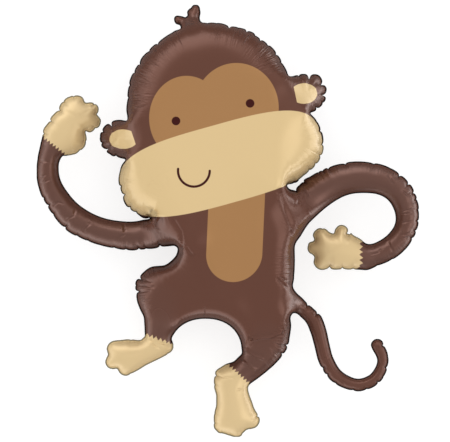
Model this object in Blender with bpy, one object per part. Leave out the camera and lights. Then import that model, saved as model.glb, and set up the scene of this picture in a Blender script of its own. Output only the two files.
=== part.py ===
"""A foil shape balloon of a dancing monkey, filled with air and lying on its back.

The real thing is two printed films, welded to each other all round the rim, so its whole form
follows from one flat outline. Where two welds run close the films bulge into a tube, and over
a wide field they bulge into a cushion. The model is made in the same order:

1. outline: head, muzzle, ears, limbs and tail are named discs and tapered limbs, melted into
   one figure by a smooth union, and the rim is walked round the figure's zero level;
2. sheet: a flat flange follows the rim, and triangles fill the field inside the weld;
3. inflation: the field is solved as a membrane under even pressure, -laplacian(p) = 1 with
   p = 0 on the weld, and each film stands FILM_BULGE * sqrt(2 p) off the middle;
4. rest: the back bulges most behind the muzzle. The balloon lies on that patch, which is pressed
   flat, and is pitched a little towards its legs, so that its weight stands over the patch.

Metres, +Z up, face up. X runs to the figure's left hand, Y up its body to the head.
"""
import math

import bpy
import numpy as np
from mathutils import Vector
from mathutils.geometry import delaunay_2d_cdt

# ---- driving sizes (metres) ---------------------------------------------------------------
FLANGE_WIDTH = 0.0045          # the welded border outside the air space
FLANGE_HALF = 0.0005           # half its thickness at the weld; it thins to an edge at the rim
FILM_BULGE = 0.88              # height of each film against the ideal membrane's
PITCH = math.radians(4.5)      # the legs hang, which brings the weight over the resting patch
REST_DEPTH = 0.0080            # how far the back is pressed flat on that patch

WALK_STEP = 0.0015             # step along the rim while it is traced
RIM_STEP_MIN = 0.0060          # rim edges on the tightest bends
RIM_STEP_MAX = 0.0130          # rim edges on straight stretches
RIM_TURN = 0.50                # rim edge length against the local bend radius
FIELD_STEP = 0.0220            # triangle size inside the weld
ROW_DEPTHS = (0.32, 1.00, 1.95)     # rows beside the weld, in rim edges
ROW_ROOM = (0.30, 0.62, 0.72)       # and the room that each row's points need
ROUTE_SAMPLES = 6              # samples between two stations of a limb's route

# The head is a disc: centre x, centre y, radius.
HEAD = (-0.040, 0.264, 0.193)

# The muzzle is a rounded box that curls up at both ends.
MUZZLE_CENTRE = (-0.0145, 0.1293)
MUZZLE_HALF = (0.239, 0.0935)
MUZZLE_TILT = math.radians(16.0)
MUZZLE_POWER = 3.1
MUZZLE_CURL = 0.126            # rise of its middle line per squared distance from the middle

# The torso is a straight-sided trunk, and the gap between the legs is an arch cut from it.
TRUNK = [(0.0185, 0.010, 0.134), (0.0185, -0.120, 0.134)]
HIPS = [(-0.105, -0.175, 0.062), (0.070, -0.190, 0.072)]
ARCH_CENTRE = (-0.052, -0.304)
ARCH_HALF = (0.0840, 0.0775)
ARCH_POWER = 2.2

# Limbs: stations (x, y, half-width) along the middle line, from the body outwards.
ARM_RAISED = [(-0.088, -0.020, 0.036), (-0.157, -0.026, 0.034), (-0.226, -0.035, 0.032),
              (-0.300, -0.023, 0.031), (-0.360, 0.010, 0.030), (-0.398, 0.055, 0.028),
              (-0.415, 0.096, 0.026), (-0.415, 0.140, 0.025), (-0.404, 0.172, 0.028)]
ARM_CURLED = [(0.100, -0.030, 0.050), (0.143, 0.010, 0.046), (0.185, 0.047, 0.0395),
              (0.226, 0.078, 0.039), (0.266, 0.095, 0.037), (0.309, 0.100, 0.036),
              (0.355, 0.093, 0.034), (0.390, 0.069, 0.032), (0.412, 0.027, 0.028),
              (0.411, -0.015, 0.026), (0.388, -0.051, 0.026), (0.351, -0.074, 0.025),
              (0.319, -0.083, 0.029)]
LEG_BENT = [(-0.065, -0.161, 0.069), (-0.145, -0.161, 0.064), (-0.151, -0.211, 0.045),
            (-0.153, -0.253, 0.039), (-0.160, -0.278, 0.032)]
LEG_STANDING = [(0.080, -0.184, 0.066), (0.086, -0.252, 0.058), (0.078, -0.290, 0.050),
                (0.055, -0.327, 0.038), (0.030, -0.355, 0.030)]
TAIL = [(0.120, -0.168, 0.026), (0.161, -0.196, 0.0175), (0.193, -0.221, 0.0185),
        (0.208, -0.253, 0.018), (0.217, -0.288, 0.017), (0.227, -0.324, 0.017),
        (0.249, -0.358, 0.016), (0.282, -0.376, 0.014), (0.309, -0.379, 0.014),
        (0.338, -0.366, 0.014), (0.355, -0.339, 0.013), (0.357, -0.315, 0.013),
        (0.345, -0.288, 0.0145)]

# Hands and feet: a palm or sole, then one short limb for each digit. Ears, and leaves of hair.
HAND_RAISED = [[(-0.388, 0.200, 0.040), (-0.362, 0.250, 0.033)],
               [(-0.372, 0.192, 0.037), (-0.363, 0.188, 0.036)],
               [(-0.357, 0.255, 0.026), (-0.355, 0.264, 0.025)],
               [(-0.342, 0.249, 0.019), (-0.316, 0.256, 0.017)],
               [(-0.342, 0.228, 0.022), (-0.313, 0.229, 0.019)]]
HAND_CURLED = [[(0.310, -0.081, 0.028), (0.283, -0.073, 0.038), (0.240, -0.073, 0.040)],
               [(0.259, -0.052, 0.018), (0.262, -0.026, 0.0155)],
               [(0.231, -0.052, 0.018), (0.213, -0.035, 0.0165)],
               [(0.226, -0.064, 0.016), (0.199, -0.064, 0.015)],
               [(0.236, -0.080, 0.021), (0.218, -0.094, 0.020)]]
FOOT_BENT = [[(-0.150, -0.288, 0.022), (-0.180, -0.299, 0.026), (-0.226, -0.315, 0.034)],
             [(-0.226, -0.301, 0.025), (-0.260, -0.298, 0.020)],
             [(-0.238, -0.318, 0.021), (-0.266, -0.326, 0.017)],
             [(-0.215, -0.322, 0.022), (-0.236, -0.340, 0.018)]]
FOOT_STANDING = [[(0.040, -0.335, 0.0265), (0.000, -0.366, 0.030), (0.009, -0.401, 0.036),
                  (0.016, -0.438, 0.043), (0.017, -0.452, 0.043)],
                 [(-0.005, -0.449, 0.025), (-0.012, -0.471, 0.021)],
                 [(0.016, -0.461, 0.025), (0.020, -0.4785, 0.0215)],
                 [(0.035, -0.445, 0.025), (0.052, -0.460, 0.021)]]
EARS = [[(-0.253, 0.188, 0.044), (-0.210, 0.184, 0.044)],
        [(0.180, 0.293, 0.045), (0.145, 0.285, 0.045)]]
TUFT = [[(-0.078, 0.440, 0.022), (-0.079, 0.466, 0.0125), (-0.075, 0.489, 0.0095)],
        [(-0.092, 0.452, 0.012), (-0.115, 0.464, 0.0085)]]

# How far two neighbours melt into each other where they meet.
MELT_FACE = 0.006
MELT_LIMB = 0.012
MELT_LEGS = 0.030
MELT_TAIL = 0.010
MELT_DIGIT = 0.005

FUR_BROWN = (0.145, 0.063, 0.042, 1.0)
FILM_ROUGHNESS = 0.38
SHARP_ANGLE = math.radians(50.0)


# ---- the figure's outline -----------------------------------------------------------------
def disc(points, shape):
    """Signed distance to a disc: |p - centre| - radius, negative inside."""
    x, y, radius = shape
    return np.hypot(points[:, 0] - x, points[:, 1] - y) - radius


def rounded_box(points, centre, half, power, tilt=0.0, curl=0.0):
    """Near-distance to |u/a|^n + |(v - curl u^2)/b|^n = 1, with u and v turned by the tilt."""
    offset = points - centre
    u = offset[:, 0] * math.cos(tilt) + offset[:, 1] * math.sin(tilt)
    v = offset[:, 1] * math.cos(tilt) - offset[:, 0] * math.sin(tilt) - curl * u * u
    u, v = u / half[0], v / half[1]
    size = (np.abs(u) ** power + np.abs(v) ** power + 1e-9) ** (1.0 / power)
    slope = np.hypot(np.abs(u / size) ** (power - 1) / half[0],
                     np.abs(v / size) ** (power - 1) / half[1])
    return (size - 1.0) / np.maximum(slope, 1e-6)


def smooth_route(stations):
    """Catmull-Rom curve through a limb's stations; the half-width is eased along with it."""
    knots = np.array([stations[0]] + list(stations) + [stations[-1]], dtype=float)
    samples = []
    for a, b, c, d in zip(knots[:-3], knots[1:-2], knots[2:-1], knots[3:]):
        for t in np.linspace(0.0, 1.0, ROUTE_SAMPLES, endpoint=False):
            samples.append(0.5 * (2 * b + (c - a) * t + (2 * a - 5 * b + 4 * c - d) * t ** 2
                                  + (3 * b - a - 3 * c + d) * t ** 3))
    samples.append(knots[-1])
    return np.array(samples)


class Limbs:
    """A set of limbs, each a chain of tapered capsules, measured all at once."""

    def __init__(self, routes):
        curves = [smooth_route(route) for route in routes]
        self.start = np.vstack([curve[:-1] for curve in curves])
        self.change = np.vstack([np.diff(curve, axis=0) for curve in curves])
        self.first = np.cumsum([0] + [len(curve) - 1 for curve in curves[:-1]])
        self.length_squared = (self.change[:, :2] ** 2).sum(1)

    def distances(self, points):
        """Signed distance from each point to each limb, as one row for each limb."""
        x = points[:, 0:1] - self.start[:, 0]
        y = points[:, 1:2] - self.start[:, 1]
        along = (x * self.change[:, 0] + y * self.change[:, 1]) / self.length_squared
        along = np.clip(along, 0.0, 1.0)
        gap = np.hypot(x - along * self.change[:, 0], y - along * self.change[:, 1])
        gap -= self.start[:, 2] + along * self.change[:, 2]
        return np.minimum.reduceat(gap, self.first, axis=1).T


def melt(a, b, width):
    """Smooth union: the lesser of the two, rounded off where they are within the width."""
    near = np.maximum(width - np.abs(a - b), 0.0) / width
    return np.minimum(a, b) - near * near * width / 4.0


def melt_all(base, distances, width):
    """Melt several distances into the base in turn."""
    for distance in distances:
        base = melt(base, distance, width)
    return base


LIMBS = Limbs([TRUNK, HIPS, LEG_BENT, LEG_STANDING, TAIL, ARM_RAISED, ARM_CURLED]
              + EARS + TUFT + HAND_RAISED + HAND_CURLED + FOOT_BENT + FOOT_STANDING)
DIGIT_GROUPS = [len(HAND_RAISED), len(HAND_CURLED), len(FOOT_BENT), len(FOOT_STANDING)]


def figure(points):
    """The whole monkey as one level function: negative inside, zero on the rim."""
    far = LIMBS.distances(points)
    trunk, hips, leg_bent, leg_standing, tail, arm_raised, arm_curled = far[:7]
    head_trim, digits = np.split(far[7:], [len(EARS) + len(TUFT)])

    muzzle = rounded_box(points, MUZZLE_CENTRE, MUZZLE_HALF, MUZZLE_POWER,
                         MUZZLE_TILT, MUZZLE_CURL)
    face = melt_all(disc(points, HEAD), [muzzle, *head_trim], MELT_FACE)
    body = melt_all(trunk, [hips, leg_bent, leg_standing], MELT_LEGS)
    body = np.maximum(body, -rounded_box(points, ARCH_CENTRE, ARCH_HALF, ARCH_POWER))
    body = melt(body, tail, MELT_TAIL)
    body = melt_all(body, [arm_raised, arm_curled], MELT_LIMB)
    start = 0
    for count in DIGIT_GROUPS:
        palm, *fingers = digits[start:start + count]
        body = melt(body, melt_all(palm, fingers, MELT_DIGIT), MELT_DIGIT)
        start += count
    return melt(face, body, MELT_FACE)


def level_and_slope(point):
    """The figure's level at one point, and its gradient from four neighbours."""
    d = 1e-4
    probes = point + np.array([(0, 0), (d, 0), (-d, 0), (0, d), (0, -d)])
    level = figure(probes)
    return level[0], np.array([level[1] - level[2], level[3] - level[4]]) / (2 * d)


def walk_rim():
    """Walk the zero level counter-clockwise: one step along it, then back onto it."""
    point = np.array([HEAD[0], HEAD[1] + HEAD[2]])
    rim = []
    while True:
        for _ in range(2):
            level, slope = level_and_slope(point)
            point = point - level * slope / (slope @ slope)
        if len(rim) > 10 and np.linalg.norm(point - rim[0]) < WALK_STEP * 0.75:
            return np.array(rim)
        rim.append(point)
        tangent = np.array([-slope[1], slope[0]]) / np.linalg.norm(slope)
        point = point + WALK_STEP * tangent


def loop_normals(loop):
    """Unit normals of a counter-clockwise loop, pointing out of it."""
    along = np.roll(loop, -1, axis=0) - np.roll(loop, 1, axis=0)
    normal = np.stack([along[:, 1], -along[:, 0]], axis=1)
    return normal / np.linalg.norm(normal, axis=1)[:, None]


def ease_loop(values, count):
    """Average values round a loop over a window of 2 count + 1."""
    window = range(-count, count + 1)
    return sum(np.roll(values, shift, axis=0) for shift in window) / len(window)


def resample_rim(walked):
    """Rim points at even turns: close together on toes and notches, wide apart on the head."""
    reach = 4
    ahead = np.roll(walked, -reach, axis=0) - walked
    behind = walked - np.roll(walked, reach, axis=0)
    turn = np.abs(ahead[:, 0] * behind[:, 1] - ahead[:, 1] * behind[:, 0])
    turn /= np.linalg.norm(ahead, axis=1) * np.linalg.norm(behind, axis=1)
    bend_radius = reach * WALK_STEP / np.maximum(turn, 1e-6)
    spacing = np.clip(RIM_TURN * bend_radius, RIM_STEP_MIN, RIM_STEP_MAX)
    spacing = ease_loop(spacing, 5)
    edge = np.linalg.norm(np.roll(walked, -1, axis=0) - walked, axis=1)
    travel = np.concatenate([[0.0], np.cumsum(edge / spacing)])
    count = int(round(travel[-1]))
    stops = np.arange(count) * travel[-1] / count
    closed = np.vstack([walked, walked[:1]])
    return np.stack([np.interp(stops, travel, closed[:, axis]) for axis in (0, 1)], axis=1)


# ---- the flat sheet -----------------------------------------------------------------------
def distance_to_loop(points, loop):
    """Distance from each point to the nearest edge of the loop."""
    best = np.full(len(points), np.inf)
    for start, edge in zip(loop, np.roll(loop, -1, axis=0) - loop):
        offset = points - start
        along = np.clip(offset @ edge / (edge @ edge), 0.0, 1.0)
        best = np.minimum(best, np.hypot(offset[:, 0] - along * edge[0],
                                         offset[:, 1] - along * edge[1]))
    return best


def rows_along(weld):
    """Rows of points that follow the weld, each point with the room it needs."""
    normal = loop_normals(weld)
    edge = np.linalg.norm(np.roll(weld, -1, axis=0) - np.roll(weld, 1, axis=0), axis=1) / 2
    rows, room = [], []
    for depth, share in zip(ROW_DEPTHS, ROW_ROOM):
        row = weld - normal * edge[:, None] * depth
        clear = distance_to_loop(row, weld) > 0.86 * depth * edge
        rows.append(row[clear])
        room.append(share * edge[clear])
    return np.vstack(rows), np.concatenate(room)


def grid_over(weld):
    """A triangular grid over the field, clear of the weld."""
    (left, bottom), (right, top) = weld.min(0), weld.max(0)
    levels = np.arange(bottom, top, FIELD_STEP * math.sqrt(3) / 2)
    grid = np.array([(x + FIELD_STEP / 2 * (index % 2), y) for index, y in enumerate(levels)
                     for x in np.arange(left, right, FIELD_STEP)])
    grid = grid[figure(grid) < 0.0]
    grid = grid[distance_to_loop(grid, weld) > 0.55 * FIELD_STEP]
    return grid, np.full(len(grid), 0.70 * FIELD_STEP)


def thin_out(points, room):
    """Keep the points, first come first served, that have room beside those already kept."""
    kept = np.empty((0, 2))
    for point, clear in zip(points, room):
        if not len(kept) or np.hypot(*(kept - point).T).min() > clear:
            kept = np.vstack([kept, point])
    return kept


def fill_field(weld):
    """Delaunay triangles of the field inside the weld, as (points, triangles)."""
    rows, row_room = rows_along(weld)
    grid, grid_room = grid_over(weld)
    inner = thin_out(np.vstack([rows, grid]), np.concatenate([row_room, grid_room]))
    ring = [(i, (i + 1) % len(weld)) for i in range(len(weld))]
    sheet = delaunay_2d_cdt([Vector(p) for p in np.vstack([weld, inner])], ring, [], 1, 1e-7)
    return np.array([tuple(p) for p in sheet[0]]), np.array(sheet[2])


# ---- inflation ----------------------------------------------------------------------------
def membrane(points, triangles, fixed):
    """Solve -laplacian(p) = 1 with p = 0 at the fixed points, by conjugate gradients."""
    corner = points[triangles]
    count = len(points)
    start, end, weight = [], [], []
    load = np.zeros(count)
    for k in range(3):
        a, b, c = corner[:, k], corner[:, (k + 1) % 3], corner[:, (k + 2) % 3]
        twice_area = (b - a)[:, 0] * (c - a)[:, 1] - (b - a)[:, 1] * (c - a)[:, 0]
        start.append(triangles[:, (k + 1) % 3])
        end.append(triangles[:, (k + 2) % 3])
        weight.append(((b - a) * (c - a)).sum(1) / twice_area / 2.0)
        load += np.bincount(triangles[:, k], twice_area / 6.0, count)
    start, end, weight = map(np.concatenate, (start, end, weight))

    def stiffness(p):
        flow = weight * (p[start] - p[end])
        return np.bincount(start, flow, count) - np.bincount(end, flow, count)

    free = ~fixed
    pressure = np.zeros(count)
    residual = load * free
    heading = residual.copy()
    energy = residual @ residual
    while energy > 1e-20 * (load @ load):
        pull = stiffness(heading) * free
        stride = energy / (heading @ pull)
        pressure += stride * heading
        residual -= stride * pull
        previous, energy = energy, residual @ residual
        heading = residual + energy / previous * heading
    return pressure


def inflated_sheet():
    """Rim loop, field points (the weld loop first), film height at each, and triangles."""
    rim = resample_rim(walk_rim())
    weld = rim - loop_normals(rim) * FLANGE_WIDTH
    points, triangles = fill_field(weld)
    pressure = membrane(points, triangles, np.arange(len(points)) < len(weld))
    height = FLANGE_HALF + FILM_BULGE * np.sqrt(2.0 * np.maximum(pressure, 0.0))
    return rim, points, height, triangles


# ---- the solid ----------------------------------------------------------------------------
def two_films(rim, points, height, triangles):
    """Close the sheet into a solid: rim, front film, then back film, and their triangles."""
    ring, field = len(rim), len(points)
    flat = np.vstack([rim, points, points])
    level = np.concatenate([np.zeros(ring), height, -height])
    near = np.arange(ring)
    far = (near + 1) % ring
    front, back = ring, ring + field
    faces = [triangles + front, triangles[:, ::-1] + back,
             np.stack([near, far, far + front], axis=1),
             np.stack([near, far + front, near + front], axis=1),
             np.stack([far, near, near + back], axis=1),
             np.stack([far, near + back, far + back], axis=1)]
    return np.column_stack([flat, level]), np.vstack(faces)


def lay_down(vertices):
    """Pitch the balloon about X, centre it over the origin and press its back flat."""
    x, y, z = vertices.T
    pitched = np.column_stack([x, y * math.cos(PITCH) - z * math.sin(PITCH),
                               y * math.sin(PITCH) + z * math.cos(PITCH)])
    low, high = pitched.min(0), pitched.max(0)
    pitched -= ((low[0] + high[0]) / 2.0, (low[1] + high[1]) / 2.0, low[2] + REST_DEPTH)
    pitched[:, 2] = np.maximum(pitched[:, 2], 0.0)
    return pitched


def printed_film():
    """Glossy brown film."""
    material = bpy.data.materials.new("brown_foil_film")
    material.use_nodes = True
    shader = material.node_tree.nodes["Principled BSDF"]
    shader.inputs["Base Color"].default_value = FUR_BROWN
    shader.inputs["Roughness"].default_value = FILM_ROUGHNESS
    shader.inputs["Metallic"].default_value = 0.0
    return material


def monkey_balloon():
    """The balloon as one closed object."""
    vertices, faces = two_films(*inflated_sheet())
    vertices = lay_down(vertices)
    mesh = bpy.data.meshes.new("monkey_balloon")
    mesh.from_pydata(vertices.tolist(), [], faces.tolist())
    mesh.shade_smooth()
    mesh.set_sharp_from_angle(angle=SHARP_ANGLE)
    mesh.materials.append(printed_film())
    balloon = bpy.data.objects.new("monkey_balloon", mesh)
    bpy.context.scene.collection.objects.link(balloon)
    return balloon


def main():
    """Empty the scene, then build the balloon."""
    for item in list(bpy.data.objects):
        bpy.data.objects.remove(item, do_unlink=True)
    monkey_balloon()


main()
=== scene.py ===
# %% [markdown]
# # A foil balloon monkey
# The object is a party balloon in the shape of a dancing monkey, about a metre tall. It is made
# of two printed foil films that are welded together round the rim and blown up with air. This
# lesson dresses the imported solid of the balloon: it rebuilds the two films as one fine mesh,
# gathers them along the weld as real foil gathers, prints the monkey on them, and lights them
# softly on a pale floor.
#
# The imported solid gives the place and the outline. The rest is built on them.

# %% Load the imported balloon
import math
from functools import partialmethod

import bpy
import numpy as np
from mathutils import Matrix, Vector
from mathutils.geometry import delaunay_2d_cdt


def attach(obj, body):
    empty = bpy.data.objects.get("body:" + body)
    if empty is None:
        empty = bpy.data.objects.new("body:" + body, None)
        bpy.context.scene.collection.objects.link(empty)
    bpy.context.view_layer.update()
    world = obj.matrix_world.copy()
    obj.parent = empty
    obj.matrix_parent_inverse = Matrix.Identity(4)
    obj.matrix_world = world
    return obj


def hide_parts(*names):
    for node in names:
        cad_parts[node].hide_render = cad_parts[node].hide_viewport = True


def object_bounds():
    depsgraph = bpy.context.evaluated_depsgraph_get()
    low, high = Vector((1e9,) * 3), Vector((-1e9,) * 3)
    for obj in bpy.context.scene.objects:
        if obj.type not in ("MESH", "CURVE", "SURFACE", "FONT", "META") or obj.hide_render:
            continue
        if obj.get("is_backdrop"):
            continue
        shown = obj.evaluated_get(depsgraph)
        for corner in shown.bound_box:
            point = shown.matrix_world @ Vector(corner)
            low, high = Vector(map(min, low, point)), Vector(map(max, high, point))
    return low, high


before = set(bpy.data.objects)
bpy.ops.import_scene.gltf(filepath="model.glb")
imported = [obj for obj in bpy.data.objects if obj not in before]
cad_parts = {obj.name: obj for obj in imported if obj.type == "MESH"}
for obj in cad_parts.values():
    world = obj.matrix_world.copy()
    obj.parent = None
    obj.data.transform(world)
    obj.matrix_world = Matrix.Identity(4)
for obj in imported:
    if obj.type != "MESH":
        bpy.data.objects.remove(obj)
packed_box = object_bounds()
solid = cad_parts["monkey_balloon"].data
print("packed balloon:", len(solid.polygons), "triangles, box in mm",
      [[round(1000 * value) for value in corner] for corner in packed_box])

# %% [markdown]
# ## The rim
# The rim is where the front film turns into the back film. On the solid it is the edge at which
# two triangles face opposite ways, so comparing normals picks it out. The rim is flat. The plane
# through it gives the balloon coordinates of its own: u towards the monkey's left hand, v up its
# body, and w out of its face. In these the balloon is one flat drawing with a film on each side.

# %% Read the solid's triangles
def packed_triangles(mesh):
    """The mesh with vertices at one place (to 0.01 mm) merged: (places, triangles)."""
    place = np.empty(len(mesh.vertices) * 3)
    mesh.vertices.foreach_get("co", place)
    corner = np.empty(len(mesh.loops), dtype=np.int32)
    mesh.loops.foreach_get("vertex_index", corner)
    place = place.reshape(-1, 3)
    _, first, same = np.unique(np.round(place, 5), axis=0, return_index=True, return_inverse=True)
    return place[first], same.reshape(-1)[corner].reshape(-1, 3)


place, triangles = packed_triangles(solid)
print("solid:", len(place), "points,", len(triangles), "triangles")

# %% Find the edges where it folds over
OPPOSITE = -0.5  # normal . normal of two triangles that face opposite ways


def edges_of(triangles):
    """The edges of triangles: all their first ones, then the second and the third ones."""
    return np.concatenate([triangles[:, [k, (k + 1) % 3]] for k in range(3)])


def unit(rows):
    """The rows of an array, each scaled to length 1."""
    return rows / np.maximum(np.linalg.norm(rows, axis=1), 1e-12)[:, None]


def facings(points, triangles):
    """The normal of each triangle, (b - a) x (c - a), which is twice its area long."""
    corner = points[triangles]
    return np.cross(corner[:, 1] - corner[:, 0], corner[:, 2] - corner[:, 0])


def folded_edges(place, triangles):
    """Edges whose two triangles face opposite ways. Sorting puts the two side by side."""
    edge = edges_of(triangles)
    facing = np.concatenate([unit(facings(place, triangles))] * 3)
    order = np.argsort(edge.min(1) * len(place) + edge.max(1), kind="stable")
    one, two = order[0::2], order[1::2]
    return edge[one[(facing[one] * facing[two]).sum(1) < OPPOSITE]]


folds = folded_edges(place, triangles)
print("folded edges:", len(folds))

# %% Find the plane of the rim
def seam_plane(points):
    """Least-squares plane: its middle, and rows across (level), up (in the plane) and out."""
    middle = points.mean(0)
    out = np.linalg.svd(points - middle)[2][2]
    out *= np.sign(out[2])
    up = np.cross(out, (1.0, 0.0, 0.0))
    up /= np.linalg.norm(up)
    return middle, np.array([np.cross(up, out), up, out])


DRAWING_ZERO = (0.0004, 0.0008)  # where the drawing's zero lies over the floor
middle, axes = seam_plane(place[np.unique(folds)])
rise = axes[1][2] / axes[1][1]
zero = np.array([*DRAWING_ZERO, middle[2] + rise * (DRAWING_ZERO[1] - middle[1])])
print("seam plane: height %.1f mm, rising %.2f degrees to the head"
      % (1000 * zero[2], math.degrees(math.atan(rise))))

# %% [markdown]
# The rim's own points are the ones that lie on that plane. They are put in order by stepping
# from neighbour to neighbour. The solid is coarse, so a closed cubic spline runs through them,
# and the films follow its even steps of 1.6 mm, fine enough for the little notches to come.

# %% Walk round the rim
ON_PLANE = 1e-4  # a point this close to the plane lies on it


def rim_in_order(place, triangles, level):
    """Indices of the points on the seam plane, counter-clockwise round the rim."""
    edge = edges_of(triangles)
    edge = edge[(np.abs(level[edge]) < ON_PLANE).all(1)]
    edge = np.unique(np.sort(edge, axis=1), axis=0)
    both = np.vstack([edge, edge[:, ::-1]])
    both = both[np.argsort(both[:, 0], kind="stable")]
    pairs = zip(both[::2, 1].tolist(), both[1::2, 1].tolist())
    neighbours = dict(zip(both[::2, 0].tolist(), pairs))
    order = [both[0, 0], both[0, 1]]
    while len(order) < len(neighbours):
        ahead, behind = neighbours[order[-1]]
        order.append(ahead if ahead != order[-2] else behind)
    return order


flat = (place - zero) @ axes.T
rim_solid = flat[rim_in_order(place, triangles, flat[:, 2])][:, :2]
ahead_solid = np.roll(rim_solid, -1, axis=0)
swept = (rim_solid[:, 0] * ahead_solid[:, 1] - rim_solid[:, 1] * ahead_solid[:, 0]).sum() / 2
if swept < 0:
    rim_solid = rim_solid[::-1]
print("rim of the solid: %d points round %.3f square metres" % (len(rim_solid), abs(swept)))

# %% Draw a smooth loop through the rim
SEAM_STEP = 0.0016  # from point to point round the rim
FINER = 8  # points for each knot when the length is measured


def travelled(points):
    """Distance gone along a line at each of its points."""
    return np.concatenate([[0.0], np.cumsum(np.linalg.norm(np.diff(points, axis=0), axis=1))])


def loop_spline(points, step):
    """Even points about a step apart on the closed cubic spline through the given points.

    With bends m at the knots and chords h between them, equal slopes on both sides of each
    knot give h0 m0 + 2 (h0 + h1) m1 + h1 m2 = 6 (slope1 - slope0).
    """
    count = len(points)
    here = np.arange(count)
    ahead = (here + 1) % count
    chord = np.linalg.norm(points[ahead] - points, axis=1)
    slope = (points[ahead] - points) / chord[:, None]
    system = np.zeros((count, count))
    system[here, here] = 2 * (chord + chord[here - 1])
    system[here, here - 1] = chord[here - 1]
    system[here, ahead] = chord
    bend = np.linalg.solve(system, 6 * (slope - slope[here - 1]))
    knots = np.concatenate([[0.0], np.cumsum(chord)])

    def spline(stops):
        cell = np.clip(np.searchsorted(knots, stops, side="right") - 1, 0, count - 1)
        width = chord[cell][:, None]
        gone = (stops - knots[cell])[:, None]
        left = width - gone
        ends = points[cell] * left + points[ahead[cell]] * gone
        pull = (bend[cell] * (left ** 3 - width ** 2 * left)
                + bend[ahead[cell]] * (gone ** 3 - width ** 2 * gone))
        return ends / width + pull / (6 * width)

    fine = np.linspace(0.0, knots[-1], FINER * count)
    travel = travelled(spline(fine))
    number = int(round(travel[-1] / step))
    even = np.arange(number) * travel[-1] / number
    return spline(np.interp(even, travel, fine)), travel[-1]


SEAM_START = (-0.052, -0.235)  # in the smooth arch between the legs

rim, rim_length = loop_spline(rim_solid, SEAM_STEP)
rim = np.roll(rim, -np.argmin(np.hypot(*(rim - SEAM_START).T)), axis=0)
seam_points = len(rim)
seam_at = np.arange(seam_points) * SEAM_STEP
print("rim: %d points, %.2f m round" % (seam_points, rim_length))

# %% [markdown]
# The solid rounds off some corners that blown film fills out, such as the top of the far ear
# and the lower corner of the muzzle, and fills some hollows. There the loop is moved a few
# millimetres, out or in, over a short stretch. Each move is a smooth bump, so the loop stays
# smooth.

# %% List the corners
# Where the film leaves the solid's rim, in millimetres: u, v, how far out, reach along the rim.
FILLED_OUT = {
    "tuft": [(-90, 481, 6.5, 10), (-66, 478, 2.5, 9), (-103, 471, 2, 7), (-118, 455, 2, 7),
        (-122, 469, 1.5, 6), (-95, 472, 3, 6)],
    "head": [(-145, 421, -1.5, 35), (-199, 378, 1.5, 14), (-224, 324, 3, 30),
        (-233, 255, 1.5, 18), (3, 449, -2.5, 14), (46, 438, 2.5, 13), (58, 432, 2, 9),
        (104, 394, 3, 30)],
    "far ear": [(160, 336, 2, 14), (207, 331, 6.5, 15), (226, 306, 4, 10), (222, 285, 2, 10),
        (223, 272, 1, 9)],
    "near ear": [(-293, 182, -1.5, 12), (-284, 166, -3.5, 8), (-272, 158, -4, 10),
        (-258, 149, -2, 12)],
    "muzzle": [(213, 202, 4, 30), (155, 93, 5, 14), (140, 76, 2.5, 7), (-249, 112, -1.5, 12),
        (-248, 80, 2, 16), (-232, 38, 3.5, 24), (-192, 7, 6, 16)],
    "raised hand": [(-337, 284, 2, 12), (-394, 255, -3.5, 20), (-420, 222, -2, 12),
        (-320, 205, 5, 9), (-378, 149, 4.5, 12), (-342, 160, -2, 10)],
    "raised arm": [(-432, 186, 2, 14), (-370, -21, 3.5, 34), (-225, -67, 2, 30),
        (-169, -65, 2.5, 22)],
    "curled arm": [(192, -12, -2.5, 20), (176, 92, 4, 12), (144, 63, 2.5, 8), (420, 83, 2, 18),
        (434, 52, 2, 22), (374, 47, -2.5, 24), (379, -96, 2, 25), (316, -50, -2.5, 18),
        (305, -115, 2.5, 34), (282, -113, 1, 20)],
    "curled hand": [(189, -50, 2, 8), (226, -22, 3, 12), (238, -29, 2.5, 8), (282, -31, 5.5, 9)],
    "body": [(162, -38, 3.5, 18), (155, -90, 1.5, 30), (150, -152, -4, 12), (169, -177, 2, 12),
        (146, -226, -5, 12), (138, -291, 3, 14), (122, -310, 2, 14)],
    "knee": [(-150, -98, -10, 22), (-208, -142, 6, 20)],
    "legs": [(12, -324, -5, 14), (-28, -348, 4, 12), (-30, -448, 2, 14), (44, -387, 4, 9),
        (39, -486, -3, 10), (0, -493, 2.5, 10), (-226, -274, 2, 28), (-196, -271, 2.5, 6),
        (-157, -315, 1.5, 25), (-129, -293, 2, 13)],
    "tail": [(199, -205, -3, 12), (282, -390, 1, 30)],
}
print("corners to fill out:", sum(map(len, FILLED_OUT.values())))

# %% Fill out the corners
GATHER_ALLOWANCE = 0.0006  # what the gathers will draw in, all round
BEND_REACH = 0.006  # over which the rim's bend is measured


def loop_normals(loop):
    """Unit normals of a counter-clockwise loop, pointing out of it."""
    along = np.roll(loop, -1, axis=0) - np.roll(loop, 1, axis=0)
    return unit(np.column_stack([along[:, 1], -along[:, 0]]))


def blur_loop(values, reach):
    """Gaussian blur of values round the loop, over a reach in metres, as a Fourier filter."""
    wave = np.fft.rfftfreq(len(values), SEAM_STEP)
    soft = np.exp(-2 * (np.pi * wave * reach) ** 2)
    return np.fft.irfft(np.fft.rfft(values) * soft, len(values))


def ring_distance(places):
    """Distance round the rim from each of its points (rows) to each given place (columns)."""
    ahead = (places - seam_at[:, None] + rim_length / 2) % rim_length
    return np.abs(ahead - rim_length / 2)


def rim_index(points):
    """Index of the rim point nearest to each given point."""
    return np.argmin(np.hypot(rim[:, :1] - points[:, 0], rim[:, 1:] - points[:, 1]), axis=0)


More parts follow.
